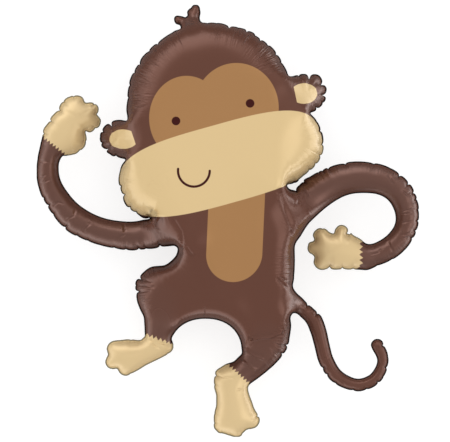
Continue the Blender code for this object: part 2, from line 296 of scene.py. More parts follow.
moves = np.vstack([np.array(places) for places in FILLED_OUT.values()]) / 1000
bump = np.exp(-(ring_distance(rim_index(moves) * SEAM_STEP) / moves[:, 3]) ** 2)
rim = rim + loop_normals(rim) * (GATHER_ALLOWANCE + bump @ moves[:, 2])[:, None]
rim_out = loop_normals(rim)
next_out = np.roll(rim_out, -1, axis=0)
turn = rim_out[:, 0] * next_out[:, 1] - rim_out[:, 1] * next_out[:, 0]
rim_bend = blur_loop(turn / SEAM_STEP, BEND_REACH)
print("rim filled out, tightest bend %.0f mm" % (1000 / rim_bend.max()))

# %% [markdown]
# ## Where the film folds
# Away from the seam the film buckles in a few places: short folds across the limbs, where they
# bend, and dimples in the hands. Each is a stroke with a depth, a half width and the points that
# it runs through. The triangles will follow the strokes, so that a narrow fold stays sharp, and
# the folds are pressed in once the balloon is blown up.

# %% List the folds
# Depth and half width in millimetres, then u and v of the points that the fold runs through.
# A depth below zero makes a ridge.
FOLDS = [(deep, half, np.reshape(line, (-1, 2)) / 1000) for deep, half, *line in [
    # raised arm
    (1.9, 2.9, -432, 137, -415, 135), (1.9, 2.7, -438, 96, -422, 104),
    (1.8, 2.5, -432, 84, -412, 93), (2.4, 3.2, -402, 34, -391, 42, -382, 40),
    (2.3, 3.1, -368, 4, -355, 10, -352, 20), (2.4, 3.2, -330, -20, -320, -10),
    (2.3, 3.1, -240, -3, -238, -21), (1.9, 3.2, -248, -37, -240, -34),
    (2.3, 4.5, -120, -1, -105, -26, -102, -50, -109, -74),
    # curled arm
    (2.4, 3.1, 372, 100, 378, 88), (2.8, 2.9, 404, 66, 412, 60, 419, 64),
    (1.9, 2.5, 404, 22, 428, 27), (1.8, 2.4, 400, 15, 420, 17), (1.9, 2.5, 402, -5, 420, -2),
    (2.3, 2.7, 402, -33, 424, -27), (1.9, 2.7, 398, -44, 414, -39), (2.8, 3.2, 369, -52, 378, -68),
    (2.4, 3.2, 330, -78, 346, -74, 352, -66), (2.0, 4.5, 170, 84, 186, 60),
    (1.7, 6.5, 118, 62, 130, 22, 146, -22), (1.9, 3.1, 160, 40, 168, 66),
    # tail
    (3.2, 3.7, 114, -134, 136, -154), (2.4, 3.1, 120, -128, 146, -146),
    (1.9, 2.7, 183, -198, 172, -207), (1.9, 2.7, 203, -216, 188, -211),
    (1.9, 2.7, 220, -316, 232, -319), (1.8, 2.5, 262, -368, 268, -380),
    # legs
    (-4.6, 3.2, 54, -270, 98, -266, 121, -254), (1.8, 3.1, -92, -60, -83, -75),
    (-4.6, 3.2, 40, -293, 58, -308, 78, -316), (-4.0, 3.2, 36, -324, 50, -333, 62, -341),
    (2.4, 2.9, -179, -273, -171, -286, -160, -292), (2.4, 2.9, -168, -268, -158, -280, -145, -284),
    (1.8, 2.7, -206, -284, -196, -278), (1.8, 2.7, 24, -388, 40, -386),
    (1.4, 2.7, -14, -360, 10, -362),
    # knee
    (2.0, 3.2, -200, -134, -176, -140), (2.2, 3.0, -198, -149, -172, -152),
    (1.8, 3.0, -198, -163, -180, -160),
    # hands
    (0.8, 4.0, -337, 242, -318, 254), (0.8, 4.0, -344, 218, -330, 210),
    (0.7, 4.0, -372, 252, -352, 240), (0.8, 4.0, 246, -30, 252, -46),
    (0.8, 4.0, 232, -68, 244, -64), (0.8, 4.0, 236, -86, 248, -80),
]]
print("folds:", len(FOLDS), "places, up to %.1f mm deep" % max(fold[0] for fold in FOLDS))

# %% Points along a fold
FOLD_STEP = 0.0014  # between points along a fold
FOLD_ROWS = -1.6, -1.0, -0.5, 0.0, 0.5, 1.0, 1.6  # rows beside it, in half widths


def distance_to_line(points, line):
    """Shortest distance from each point to a line of straight pieces."""
    least = np.full(len(points), np.inf)
    for start, end in zip(line[:-1], line[1:]):
        run = end - start
        gone = np.clip((points - start) @ run / (run @ run), 0.0, 1.0)
        least = np.minimum(least, np.linalg.norm(points - start - gone[:, None] * run, axis=1))
    return least


def fold_points(half, line):
    """Rows of points side by side along a fold, at FOLD_ROWS times its half width from it."""
    gone = travelled(line)
    stops = np.linspace(0.0, gone[-1], int(gone[-1] / FOLD_STEP) + 2)
    middle = np.column_stack([np.interp(stops, gone, line[:, axis]) for axis in range(2)])
    ahead = unit(np.gradient(middle, axis=0))
    beside = np.column_stack([-ahead[:, 1], ahead[:, 0]])
    return np.vstack([middle + row * half / 1000 * beside for row in FOLD_ROWS])


print("the first fold has", len(fold_points(*FOLDS[0][1:])), "points")

# %% [markdown]
# ## The flat sheet
# Each film is cut from flat foil, so it is made flat first. Its points stand in rows beside the
# weld, close together where the foil will gather, and in a triangular grid over the open field.
# Delaunay triangulation joins them. A grid of squares would be simpler, but it can't follow the
# rim, and the rim is what people see.

# %% Rows beside the weld
FLANGE = 0.0045  # welded border outside the air space
ROWS = [(0.0009, 0.0000), (0.0021, 0.0014), (0.0036, 0.0019), (0.0055, 0.0023),
        (0.0078, 0.0027), (0.0105, 0.0031)]  # depth inside the weld, room along the row
CLEAR = 0.985  # share of its depth that a row keeps from the whole rim
AT_ONCE = 2000  # points compared with the rim in one go


def nearest_on_rim(points):
    """Index of the nearest rim point, and the distance to it, for each point."""
    index = np.empty(len(points), dtype=np.int64)
    size = (rim ** 2).sum(1)
    for start in range(0, len(points), AT_ONCE):
        part = slice(start, start + AT_ONCE)
        index[part] = np.argmin(size - 2 * points[part] @ rim.T, axis=1)
    return index, np.linalg.norm(points - rim[index], axis=1)


def row_at(depth, room):
    """Points at a depth inside the weld, thinned until they stand at least a room apart."""
    row = rim - rim_out * (FLANGE + depth)
    step = np.linalg.norm(np.roll(row, -1, axis=0) - row, axis=1)
    if room:
        row = row[np.diff(np.floor(np.cumsum(step) / room), prepend=-1) > 0]
    return row[nearest_on_rim(row)[1] > CLEAR * (FLANGE + depth)]


weld = rim - rim_out * FLANGE
print("innermost row:", len(row_at(*ROWS[-1])), "points")

# %% A grid over the open field
FRONT_GRID, BACK_GRID = 0.0031, 0.0054  # triangle size in the open field


def inside_rim(points, clear):
    """The points that are inside the rim and clear of it."""
    index, gap = nearest_on_rim(points)
    inside = ((points - rim[index]) * rim_out[index]).sum(1) < 0
    return points[inside & (gap > clear)]


def grid_points(step):
    """Triangular grid over the whole drawing: every other row is moved by half a step."""
    low, high = rim.min(0), rim.max(0)
    across = np.arange(low[0], high[0], step)
    up = np.arange(low[1], high[1], step * math.sqrt(3) / 2)
    u, v = np.meshgrid(across, up)
    u = u + np.where(np.arange(len(up)) % 2, step / 2, 0.0)[:, None]
    return np.column_stack([u.ravel(), v.ravel()])


print("grid in front:", len(grid_points(FRONT_GRID)), "points, before the rim cuts it")

# %% Join rows, grid and folds
GRID_CLEAR, FOLD_CLEAR = 0.7, 0.5  # steps that the grid keeps from the last row, and from folds
KEEP_INSIDE, SAME_PLACE = 1, 1e-7  # triangles inside the ring stay, and points this near are one


def flat_film(rows, grid_step, folds):
    """Points and triangles of one flat film: the weld, then its rows, its grid and its folds."""
    last_row = FLANGE + rows[-1][0]
    grid = inside_rim(grid_points(grid_step), last_row + GRID_CLEAR * grid_step)
    field = []
    for _, half, line in folds:
        room = FOLD_ROWS[-1] * half / 1000 + FOLD_CLEAR * grid_step
        grid = grid[distance_to_line(grid, line) > room]
        field.append(inside_rim(fold_points(half, line), last_row + FOLD_STEP))
    planned = np.vstack([weld, *[row_at(*row) for row in rows], grid, *field])
    laid = delaunay_2d_cdt([Vector(point) for point in planned.tolist()], ring, [], KEEP_INSIDE,
                           SAME_PLACE)
    return np.array([tuple(point) for point in laid[0]]), np.array(laid[2])


ring = [(index, (index + 1) % seam_points) for index in range(seam_points)]
flat_films = [flat_film(ROWS, FRONT_GRID, FOLDS), flat_film(ROWS[::2], BACK_GRID, [])]
print("flat films:", [(len(points), len(faces)) for points, faces in flat_films],
      "points, triangles")

# %% [markdown]
# ## Air
# Air presses on every part of the foil alike. A sheet held at the weld and pressed evenly takes
# the shape of a membrane, which obeys -laplacian(p) = 1 with p = 0 on the weld. Foil doesn't
# stretch as a membrane would: it stands steep at the weld and flat in the middle, so a film
# that rises as the square root of p comes close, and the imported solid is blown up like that.
#
# In a long tube with half width h, slope(p)^2 + 2 p is h^2 everywhere, and in a round disc
# 2 slope(p)^2 + 2 p is the same everywhere, so such a sum tells how wide each part is. The square
# root alone would give every part a section like half an ellipse. In a narrow limb the stiff
# border holds the film straighter, so its section lies between an ellipse and a parabola. Over
# a wide part the foil lies flat like the top of a loaf and drops steeply beside the weld.

# %% Solve the membrane
SOLVED = 1e-12  # share of the first energy at which the membrane is solved


def membrane(points, faces, fixed):
    """Solve -laplacian(p) = 1, p = 0 where fixed, with linear triangles and conjugate gradients.

    Returns p, its slope, and the flow out through each fixed point, which is the load that the
    weld carries there.
    """
    corner = points[faces]
    count = len(points)
    start, end, weight, edges = [], [], [], []
    load = np.zeros(count)
    for k in range(3):
        a, b, c = corner[:, k], corner[:, (k + 1) % 3], corner[:, (k + 2) % 3]
        twice_area = (b - a)[:, 0] * (c - a)[:, 1] - (b - a)[:, 1] * (c - a)[:, 0]
        start.append(faces[:, (k + 1) % 3])
        end.append(faces[:, (k + 2) % 3])
        weight.append(((b - a) * (c - a)).sum(1) / twice_area / 2)
        edges.append(np.column_stack([(b - c)[:, 1], (c - b)[:, 0]]))
        load += np.bincount(faces[:, k], twice_area / 6, count)
    start, end, weight = map(np.concatenate, (start, end, weight))

    def stiffness(p):
        flow = weight * (p[start] - p[end])
        return np.bincount(start, flow, count) - np.bincount(end, flow, count)

    scale = np.bincount(start, weight, count) + np.bincount(end, weight, count)
    scale = np.where(fixed, 0.0, 1 / np.maximum(scale, 1e-9))
    p = np.zeros(count)
    residual = np.where(fixed, 0.0, load)
    heading = scale * residual
    energy = goal = residual @ heading
    while energy > SOLVED * goal:
        pull = stiffness(heading)
        stride = energy / (heading @ pull)
        p += stride * heading
        residual -= stride * np.where(fixed, 0.0, pull)
        eased = scale * residual
        previous, energy = energy, residual @ eased
        heading = eased + energy / previous * heading
    rise = sum(p[faces[:, k], None] * edges[k] for k in range(3)) / 6
    slope = np.column_stack([sum(np.bincount(faces[:, k], rise[:, axis], count) for k in range(3))
                             for axis in range(2)]) / load[:, None]
    return p, np.linalg.norm(slope, axis=1), (load - stiffness(p))[fixed]


solved = [membrane(points, faces, np.arange(len(points)) < seam_points)
          for points, faces in flat_films]
print("membrane: p is up to %.0f square mm" % (1e6 * solved[0][0].max()))

# %% Blow the sheet up
ROUNDNESS = 1.4  # weighs the slope in the width: 1 for a tube, 1.4 a disc
NARROW, WIDE = 0.036, 0.100  # half widths at which a part is wholly limb or body
SHEEN_WIDTHS = 0.018, 0.025, NARROW, WIDE  # half widths, from the tail's to the body's
SHEEN = 0.2, 1.0, 1.0, 0.0  # how much of the limbs' extra sheen such parts have
BULGE = 0.95, 0.85  # height over half width, in limb and body
LOAF = 2.1, 5.0  # how flat the middle lies, in limb and body
DROP = 0.65, 0.35  # how gently the film leaves the weld, in limb and body
WELD_HALF = 0.0003  # half the thickness of the border at the weld
LOAD_REACH = 0.005  # along the weld, over which its load is evened out

edge_share = np.linalg.norm(np.roll(weld, -1, axis=0) - np.roll(weld, 1, axis=0), axis=1) / 2
heights, sheens = [], []
for pressure, slope, carried in solved:
    ellipse = np.sqrt(2 * np.maximum(pressure, 0.0))
    half_width = np.hypot(ROUNDNESS * slope, ellipse)
    bulge, loaf, drop = (np.interp(half_width, [NARROW, WIDE], values)
                         for values in (BULGE, LOAF, DROP))
    outward = np.ones_like(slope)
    inner = slice(seam_points, None)
    outward[inner] = np.minimum(ROUNDNESS * slope[inner] / half_width[inner], 1.0)
    sheens.append(np.interp(half_width, SHEEN_WIDTHS, SHEEN))
    heights.append(WELD_HALF + bulge * half_width * (1 - outward ** loaf) ** drop)
seam_load = blur_loop(carried / edge_share, LOAD_REACH)
print("film stands up to %.0f mm in front of the seam plane, and %.0f mm behind it"
      % tuple(1000 * height.max() for height in heights))

# %% [markdown]
# ## Gathers
# Blown foil draws in. Where the weld runs round the outside of a bend, there is more of it than
# the shape has room for, in proportion to the bend times the load that the weld carries. The
# spare length folds into gathers: a sharp notch in the border with a crease running in from it,
# and a rounded pillow between each notch and the next. Round the inside of a bend the weld is
# pulled straight and smooth. Big bends make wide shallow gathers, and small ones, such as an
# ear, make short deep ones. The notches that show most have places of their own, and smaller
# ones come between them at random.

# %% List the notches that show most
# Their u, v and depth in millimetres.
NOTCHES = {
    "far ear": [(164, 334, 3), (187.5, 330, 10), (219, 314.5, 6), (220, 290, 7), (203, 262, 4.5)],
    "head": [(124, 364, 2), (112, 383, 3), (93, 405, 2.5), (75, 416, 3.5), (62, 427, 1.5),
        (44, 438, 4), (3, 442, 4.5), (-28, 454, 1), (-48, 453, 1), (-160, 404, 3.5),
        (-180, 390, 2), (-205, 362, 3.5), (-218, 342, 2.5), (-227, 312, 2.5), (-231, 284, 2)],
    "near ear": [(-267, 215, 8.5), (-288, 204, 4), (-290, 179, 3), (-274, 167, 6.5),
        (-258, 151, 3)],
    "muzzle": [(-247, 79, 3), (-240, 59, 4.5), (-227, 31, 3.5), (-212, 20, 2), (187, 118, 2),
        (199, 134, 2.5), (205, 153, 3.5), (214, 176, 3), (211, 206, 3)],
    "curled arm": [(345, -106, 1), (378, -88, 1), (425, -41, 2.5), (432, -24, 2.5),
        (436, -1, 2.5), (437, 24, 1.5), (435, 50, 2), (429, 65, 3.5), (416, 84, 4.5),
        (393, 101, 4.5), (336, 127, 2), (271, 129, 3), (232, 120, 3), (219, 114, 2.5),
        (209, 113, 1.5), (176, 88, 3.5), (156, 71, 5)],
    "curled hand": [(235, -107, 4.5), (264, -110, 3.5), (289, -114, 2), (276, -28, 4.5),
        (218, -21, 1.5)],
    "raised hand": [(-310, 268, 2.5), (-298, 246, 2.5), (-307, 214, 2), (-356, 283, 2),
        (-387, 252, 4), (-405, 228, 4.5), (-427, 200, 3)],
    "raised arm": [(-434, 48, 2), (-421, 31, 3.5), (-409, 11, 1.5), (-377, -16, 3.5),
        (-350, -39, 1.5), (-325, -48, 1), (-262, -62, 1.5), (-236, -66, 2), (-205, -64, 3),
        (-190, -65, 1.5), (-157, -60, 4)],
    "knee": [(-206, -131, 6), (-207, -165, 6)],
    "standing leg": [(-25, -358, 3.5), (67, -453, 3), (126, -308, 4), (137, -289, 4.5)],
    "tail": [(182, -198, 3.5), (203, -218, 3.5), (222, -340, 2.5), (230, -355, 2.5),
        (250, -372, 1.5), (290, -388, 2), (320, -388, 2), (345, -372, 3), (366, -340, 2.5),
        (358, -288, 3.5)],
}
print("notches listed:", sum(map(len, NOTCHES.values())))

# %% Share out the gathers round the rim
GATHER_SPACING = 0.086  # times the square root of the bend's radius
GATHER_LEAST, GATHER_MOST = 0.014, 0.042  # spacing at least, and at most
NOTCH_DEPTH = 0.0042  # on a bend of 100 mm, with a slack of 0.5
NOTCH_MOST, NOTCH_BEND = 0.0085, 22.0  # deepest, and the bend past which they shrink
SLACK_LEAST, SLACK_SOFT = 0.035, 0.06  # spare length at which the notches start
SLACK_MOST = 0.55  # spare length that the weld can have at all
BEND_LEAST = 0.5  # bend that a straight weld is taken to have
NOTCH_ALLOWANCE = 1.35  # for the part of a notch that its rounded lips close again
APART = 0.75, 0.5  # least share of the spacing, and what chance adds at most
LESSER = 0.10, 0.30  # the same for the depth of the notches that come between
ROOM_LEFT = 0.7  # share of the spacing kept free before a listed notch
SKEW = 0.45  # how unlike the two sides of a crease are
COUNTED = 0.0003  # depth from which a notch is counted
rng = np.random.default_rng(seed=41)

# A notch is deeper on a tighter bend, up to NOTCH_BEND, and where the weld has more to spare.
slack = np.clip(rim_bend * seam_load, 0.0, SLACK_MOST)
bend = np.maximum(rim_bend, BEND_LEAST)
spacing = np.clip(GATHER_SPACING / np.sqrt(bend), GATHER_LEAST, GATHER_MOST)
depth = NOTCH_DEPTH * (bend / 10) ** 0.75 * np.sqrt(slack / 0.5)
depth = np.minimum(depth, NOTCH_MOST * (NOTCH_BEND / np.maximum(bend, NOTCH_BEND)) ** 1.6)
depth *= np.clip((slack - SLACK_LEAST) / SLACK_SOFT, 0.0, 1.0)

seen = np.array([notch for places in NOTCHES.values() for notch in places]) / 1000
seen_point = rim_index(seen)
order = np.argsort(seen_point)
seen_point, seen_deep = seen_point[order], NOTCH_ALLOWANCE * seen[order, 2]
notch_point, notch_deep = [], []
for start, end, deep in zip(seen_point, np.roll(seen_point, -1), seen_deep):
    notch_point.append(start)
    notch_deep.append(deep)
    gap = (end - start) % seam_points * SEAM_STEP
    stop = 0.0
    while True:
        here = int(start + stop / SEAM_STEP) % seam_points
        stop += spacing[here] * (APART[0] + APART[1] * rng.random())
        if stop > gap - ROOM_LEFT * spacing[here]:
            break
        here = int(start + stop / SEAM_STEP) % seam_points
        notch_point.append(here)
        notch_deep.append(depth[here] * (LESSER[0] + LESSER[1] * rng.random()))
order = np.argsort(notch_point)
notch_point, notch_deep = np.array(notch_point)[order], np.array(notch_deep)[order]
notch_at = notch_point * SEAM_STEP
notch_skew = np.exp(SKEW * rng.normal(size=len(notch_at)))
print("gathers:", int((notch_deep > COUNTED).sum()), "of", len(notch_at),
      "places, deepest %.1f mm" % (1000 * notch_deep.max()))

# %% [markdown]
# Each point of a film lies between two notches, at some distance in from the weld. The crease
# from a notch fades and widens on its way in, and the pillow between two notches swells the
# film a little. Both move the film along its own normal, which lies flat at the weld and stands
# up in the middle, so the same rule cuts notches in the border and dents the film. The deeper
# a notch, the more of it is a narrow slit, because there the border has folded over.

# %% Gather the film
CREASE_ROUND = 0.00045  # radius at the bottom of a notch
CREASE_WIDTH = 0.13  # of a crease at the weld, as a share of the gap
CREASE_REACH = 0.36  # how far it runs in, as a share of the gap
WIDTH_GAPS, REACH_GAPS = (0.018, 0.042), (0.018, 0.045)  # gaps between which each one grows
WIDENING, SOFTENING = 0.02, 0.20  # distance in at which w has doubled, and how fast r grows
SLIT_WIDTH, SLIT_OPENS = 0.0026, 0.3  # the folded part of a deep notch, likewise
SLIT_REACH = 0.0055
SLIT_FULL, SLIT_SHARE = 0.009, (0.2, 0.85)  # how much of a notch is slit, by its depth
PILLOW = 0.30  # height of a pillow, as a share of its notches' depth


def gathered(around, inside, strength):
    """How far the film stands in from its smooth shape, from the distance round and in.

    Crease: depth exp(-(sqrt(x^2 + r^2) - r) / w) exp(-(t / reach)^1.3), for the notches on
    either side, where r and w grow with t. Slit: the same with a narrow w and a short reach.
    Pillow: -share depth sin(pi x / gap) times a swell t / reach exp(1 - t / reach).
    """
    after = np.searchsorted(notch_at, around, side="right") % len(notch_at)
    before = after - 1
    gap = (notch_at[after] - notch_at[before]) % rim_length
    gone = (around - notch_at[before]) % rim_length
    reach = CREASE_REACH * np.clip(gap, *REACH_GAPS)
    moved = np.zeros_like(around)
    swell = inside / reach * np.exp(1 - inside / reach)
    for notch, away, skew in ((before, gone, notch_skew[before]),
                              (after, gap - gone, 1 / notch_skew[after])):
        deep = notch_deep[notch] * strength[notch]
        slit = np.clip(notch_deep[notch] / SLIT_FULL, *SLIT_SHARE)
        width = CREASE_WIDTH * np.clip(gap, *WIDTH_GAPS) * skew * (1 + inside / WIDENING)
        soft = CREASE_ROUND + SOFTENING * inside
        crease = np.exp(-(np.hypot(away, soft) - soft) / width - (inside / reach) ** 1.3)
        fold = np.exp(-away / (SLIT_WIDTH + SLIT_OPENS * inside) - (inside / SLIT_REACH) ** 1.5)
        moved += deep * ((1 - slit) * crease + slit * fold)
        moved -= 0.5 * PILLOW * deep * np.sin(np.pi * gone / gap) * swell
    return moved


print("a notch %.0f mm deep is %.0f%% slit" % (1000 * SLIT_FULL, 100 * SLIT_SHARE[1]))

# %% Find where each point is beside the weld
rim_gap, around, inside = [], [], []
for points, _ in flat_films:
    index, gap = nearest_on_rim(points)
    rim_gap.append(gap)
    around.append(index * SEAM_STEP)
    inside.append(np.maximum(gap - FLANGE, 0.0))
print("farthest in from the weld: %.0f mm" % (1000 * inside[0].max()))

# %% [markdown]
# ## One closed skin
# The rim, the middle of the welded border on each side, the front film and the back film are
# joined into one closed skin. The border is the film's own foil, so no separate strip is needed.

# %% Put both films and the border together
def vertex_normals(points, faces):
    """Unit normals, each the area-weighted mean of the faces round the point."""
    facing = np.repeat(facings(points, faces), 3, axis=0)
    return unit(np.column_stack([np.bincount(faces.ravel(), facing[:, axis], len(points))
                                 for axis in range(3)]))


def border_strip(outer, inner):
    """Triangles of a strip between two rings, given by their first points, seen from the front."""
    here = np.arange(seam_points)
    ahead = (here + 1) % seam_points
    return np.vstack([np.column_stack([outer + here, outer + ahead, inner + ahead]),
                      np.column_stack([outer + here, inner + ahead, inner + here])])


(front_sheet, front_faces), (back_sheet, back_faces) = flat_films
border_middle = rim - rim_out * FLANGE / 2
front_middle, back_middle = seam_points, 2 * seam_points
front, back = 3 * seam_points, 3 * seam_points + len(front_sheet)
drawing = np.vstack([rim, border_middle, border_middle, front_sheet, back_sheet])
rise_off = np.repeat([0.0, WELD_HALF / 2, -WELD_HALF / 2], seam_points)
smooth = np.column_stack([drawing, np.concatenate([rise_off, heights[0], -heights[1]])])
faces = np.vstack([
    front_faces + front, back_faces[:, ::-1] + back,
    border_strip(0, front_middle), border_strip(front_middle, front),
    border_strip(0, back_middle)[:, ::-1], border_strip(back_middle, back)[:, ::-1]])
side = np.concatenate([np.repeat([0.0, 1.0, -1.0], seam_points),
                       np.ones(len(front_sheet)), -np.ones(len(back_sheet))])
rings = np.concatenate([np.arange(front + seam_points), back + np.arange(seam_points)])
normals = vertex_normals(smooth, faces)
normals[rings] = np.tile(np.column_stack([rim_out, np.zeros(seam_points)]), (5, 1))
steep = np.hypot(normals[:, 0], normals[:, 1])
all_around = np.concatenate([np.tile(seam_at, 3), *around])
all_inside = np.concatenate([np.zeros(3 * seam_points), *inside])
all_gap = np.concatenate([np.repeat([0.0, 0.5, 0.5], seam_points) * FLANGE, *rim_gap])
print("balloon:", len(smooth), "points,", len(faces), "triangles")

# %% [markdown]
# Beside the weld the two films gather in step, because it holds them together, but further in
# each one goes its own way. The border also ruffles: beside each notch it turns up or down.

# %% Gather both films and ruffle the border
OWN_WAY = 0.008  # how far in each film has gathers of its own
OWN_DEPTH = 0.7, 0.6  # how deep those are at least, and what chance adds at most
LEAN, LEAN_LENGTH = 0.30, 0.02  # how far creases wander sideways, and over what length
SHOWING = 1.15  # times the film's steepness is how much of a gather shows
RUFFLE = 0.0026  # how far the border turns up or down at a notch
RUFFLE_REACH, RUFFLE_ALONG = 0.011, 0.006  # how far that goes in, and along
RUFFLE_FULL = 0.004  # depth of a notch from which it ruffles fully


def around_noise(length_scale, seed):
    """Random values round the rim, mostly between -1 and 1, that vary over the given length."""
    raw = np.random.default_rng(seed).normal(size=seam_points)
    eased = blur_loop(raw, length_scale)
    return eased / (2 * eased.std())


def along_rim(values):
    """Values given round the rim, at each point of the balloon."""
    return values[(all_around / SEAM_STEP + 0.5).astype(int) % seam_points]


lean = LEAN * along_rim(around_noise(LEAN_LENGTH, seed=5))
leaning = (all_around + all_inside * lean) % rim_length
drawn_in = gathered(leaning, all_inside, np.ones(len(notch_at)))
for face_side in (1.0, -1.0):
    own = gathered(leaning, all_inside, OWN_DEPTH[0] + OWN_DEPTH[1] * rng.random(len(notch_at)))
    share = np.where(side == face_side, np.clip(all_inside / OWN_WAY, 0.0, 1.0), 0.0)
    drawn_in += share * (own - drawn_in)
drawn_in *= np.clip(SHOWING * steep, 0.0, 1.0)

turned_up = rng.choice([-1.0, 1.0], len(notch_at)) * (0.5 + rng.random(len(notch_at)))
turned_up *= np.minimum(notch_deep / RUFFLE_FULL, 1.0)
ruffle = np.exp(-(ring_distance(notch_at) / RUFFLE_ALONG) ** 2) @ turned_up
lift = RUFFLE * along_rim(ruffle) * np.exp(-all_inside / RUFFLE_REACH)
print("gathers go in up to %.1f mm, the border turns up to %.1f mm"
      % (1000 * drawn_in.max(), 1000 * np.abs(lift).max()))

# %% [markdown]
# ## The folds, pressed in
# Each fold listed above becomes a valley with a raised lip on either side, or a ridge with a
# shallow valley on either side. The film's depth there is depth (1 - lip x^2) exp(-x^2), with x
# the distance from the fold's line in half widths. Right at the weld a fold fades out.

# %% Press the folds in
FOLD_LIP = 0.6  # how strongly the lips rise, as a share of the depth
BACK_SHARE = 0.6  # the back film buckles less
FOLD_START = 0.006  # how far in from the weld a fold has its full depth

pressed = np.zeros(len(drawing))
for fold_deep, fold_half, fold_line in FOLDS:
    across = distance_to_line(drawing, fold_line) / (fold_half / 1000)
    pressed += fold_deep / 1000 * (1 - FOLD_LIP * across ** 2) * np.exp(-across ** 2)
pressed *= np.clip(all_inside / FOLD_START, 0.0, 1.0) * np.where(side > 0, 1.0, BACK_SHARE)
print("folds press in up to %.1f mm and stand out up to %.1f mm"
      % (1000 * pressed.max(), -1000 * pressed.min()))

# %% [markdown]
# The finished skin goes into a mesh, already in its place. Nothing may reach past the packed
# box, so the film is held at its faces. The lowest of them is the floor, on which the back is
# pressed flat.
#
# Three attributes travel with the mesh: where each point lies on the flat drawing, for the
# print, where it lies beside the seam with how loose the film is there, for the fine wrinkles,
# and how much sheen it has, for the finish. The print is laid out so that it looks right from in
# front of the blown balloon, as its maker would lay it out.

# %% Find where the film is loose
CALM, LOOSE = 0.20, 0.62  # slope of the film where the fine wrinkles start and are full
WRINKLE_REACH = 0.055  # how far in from the weld they run
WRINKLE_LEAST, WRINKLE_SLACK = 0.15, 0.3  # share of them on a smooth weld, and where all
WRINKLE_BLUR = 0.02  # along the rim, over which their number changes
DIVIDE_JUMP = 0.02  # along the rim, from one point to its neighbour, that makes a divide
DIVIDE_ROUNDS, DIVIDE_FADE = 7, 0.8  # how often it spreads, and what share each time


def near_divide(around):
    """Near 1 beside the lines where the nearest point of the rim jumps, fading away from them.

    Each round of spreading gives a point a fixed share of the most that a neighbour has.
    """
    edge = edges_of(faces)
    step = np.abs(around[edge[:, 0]] - around[edge[:, 1]])
    jump = np.minimum(step, rim_length - step) > DIVIDE_JUMP
    divide = np.zeros(len(around))
    divide[edge[jump]] = 1.0
    for _ in range(DIVIDE_ROUNDS):
        spread = divide.copy()
        np.maximum.at(spread, edge[:, 0], DIVIDE_FADE * divide[edge[:, 1]])
        divide = spread
    return divide


looseness = np.clip((steep - CALM) / (LOOSE - CALM), 0.0, 1.0)
wrinkled = blur_loop(np.clip(slack / WRINKLE_SLACK, WRINKLE_LEAST, 1.0), WRINKLE_BLUR)
looseness *= along_rim(wrinkled)
looseness *= np.exp(-(all_inside / WRINKLE_REACH) ** 2) * (1 - near_divide(all_around))
print("loose film: %.0f%% of the points" % (100 * (looseness > 0.5).mean()))

# %% Make the balloon
VIEW_DISTANCE = 5.0  # from which the print looks right


def add_object(name, data):
    """A new object in the scene, at the origin."""
    made = bpy.data.objects.new(name, data)
    bpy.context.scene.collection.objects.link(made)
    return made


shape = smooth - normals * (drawn_in + pressed)[:, None]
shape[:, 2] += lift
world = np.clip(zero + shape @ axes, *packed_box)
seen_from = VIEW_DISTANCE / (VIEW_DISTANCE - shape[:, 2])
sheen = np.concatenate([np.ones(3 * seam_points), *sheens])

mesh = bpy.data.meshes.new("foil_monkey")
mesh.from_pydata(world.tolist(), [], faces.tolist())
mesh.shade_smooth()
for name, columns in {"drawing": [drawing * seen_from[:, None], side],
                      "seam": [all_around, all_gap, looseness],
                      "sheen": [sheen, sheen, sheen]}.items():
    attribute = mesh.attributes.new(name, "FLOAT_VECTOR", "POINT")
    attribute.data.foreach_set("vector", np.column_stack(columns).ravel())
balloon = add_object("foil_monkey", mesh)
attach(balloon, "root")
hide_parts("monkey_balloon")
print("foil_monkey:", len(mesh.vertices), "vertices,", len(mesh.polygons), "faces")

# %% [markdown]
# ## Writing a material as sums
# A pattern worked out in a shader takes many Math nodes. The small class below wraps a socket,
# so that an expression in Python adds the nodes. Each of its operators is the same call with
# another operation, and least and most give the smaller and the larger of two values.

# %% A number of a shader
class Value:
    """One number of a shader. Sums, products and comparisons of values add Math nodes."""

    def __init__(self, shader, socket):
        self.shader, self.socket = shader, socket

    def math(self, operation, *others, clamp=False):
        """One Math node on this value and the others."""
        node = self.shader.node("ShaderNodeMath", {"operation": operation, "use_clamp": clamp},
                                self, *others)
        return Value(self.shader, node.outputs[0])

    __add__ = __radd__ = partialmethod(math, "ADD")
    __mul__ = __rmul__ = partialmethod(math, "MULTIPLY")
    __sub__ = partialmethod(math, "SUBTRACT")
    __truediv__ = partialmethod(math, "DIVIDE")
    __pow__ = partialmethod(math, "POWER")
    __abs__ = partialmethod(math, "ABSOLUTE")
    least = partialmethod(math, "MINIMUM")
    most = partialmethod(math, "MAXIMUM")

    def __rsub__(self, other):
        return self * -1.0 + other

    def below(self, limit, soft):
        """1 below the limit, 0 above it, with a soft step between."""
        return ((limit - self) / soft).math("ADD", 0.5, clamp=True)


